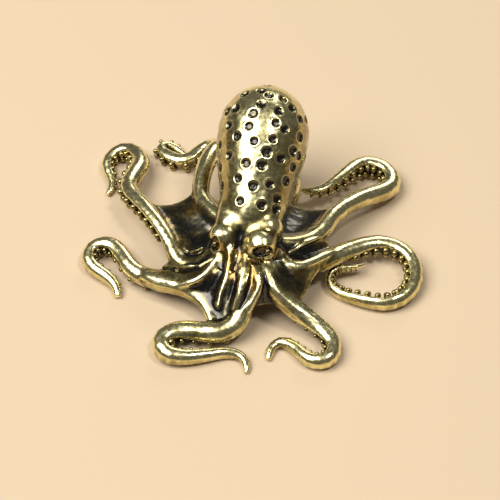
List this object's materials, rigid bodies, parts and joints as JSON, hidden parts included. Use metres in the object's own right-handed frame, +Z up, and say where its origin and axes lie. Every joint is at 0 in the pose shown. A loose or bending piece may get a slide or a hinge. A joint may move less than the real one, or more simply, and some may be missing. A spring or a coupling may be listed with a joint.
{
  "type": "octopus figurine",
  "caption": "Small cast brass octopus with a dimpled mantle, raised eyes, a thin web between the arms and curled arms with sucker rows, standing on its arms.",
  "frame": {"origin": "on the table, under the middle of the figurine's length and width", "axes": "+Z up; the octopus looks along -Y and its mantle leans back along +Y; +X runs across the arms to the viewer's right"},
  "size_m": [0.0365, 0.0313, 0.0151],
  "materials": {
    "polished_brass": "cast brass with a dark patina, rubbed bright on the raised parts",
    "darkened_brass": "cast brass left under its dark patina in the recesses"
  },
  "bodies": {
    "root": {"mantle": "polished_brass", "head": "polished_brass", "eye_left": "darkened_brass", "eye_right": "darkened_brass", "web": "darkened_brass", "arm_front_left": "polished_brass", "arm_front_right": "polished_brass", "arm_right_front": "polished_brass", "arm_right_back": "polished_brass", "arm_back_right": "polished_brass", "arm_back_left": "polished_brass", "arm_left_back": "polished_brass", "arm_left_front": "polished_brass", "suckers_front_left": "darkened_brass", "suckers_front_right": "darkened_brass", "suckers_right_front": "darkened_brass", "suckers_right_back": "darkened_brass", "suckers_back_right": "darkened_brass", "suckers_back_left": "darkened_brass", "suckers_left_back": "darkened_brass", "suckers_left_front": "darkened_brass"}
  },
  "joints": []
}
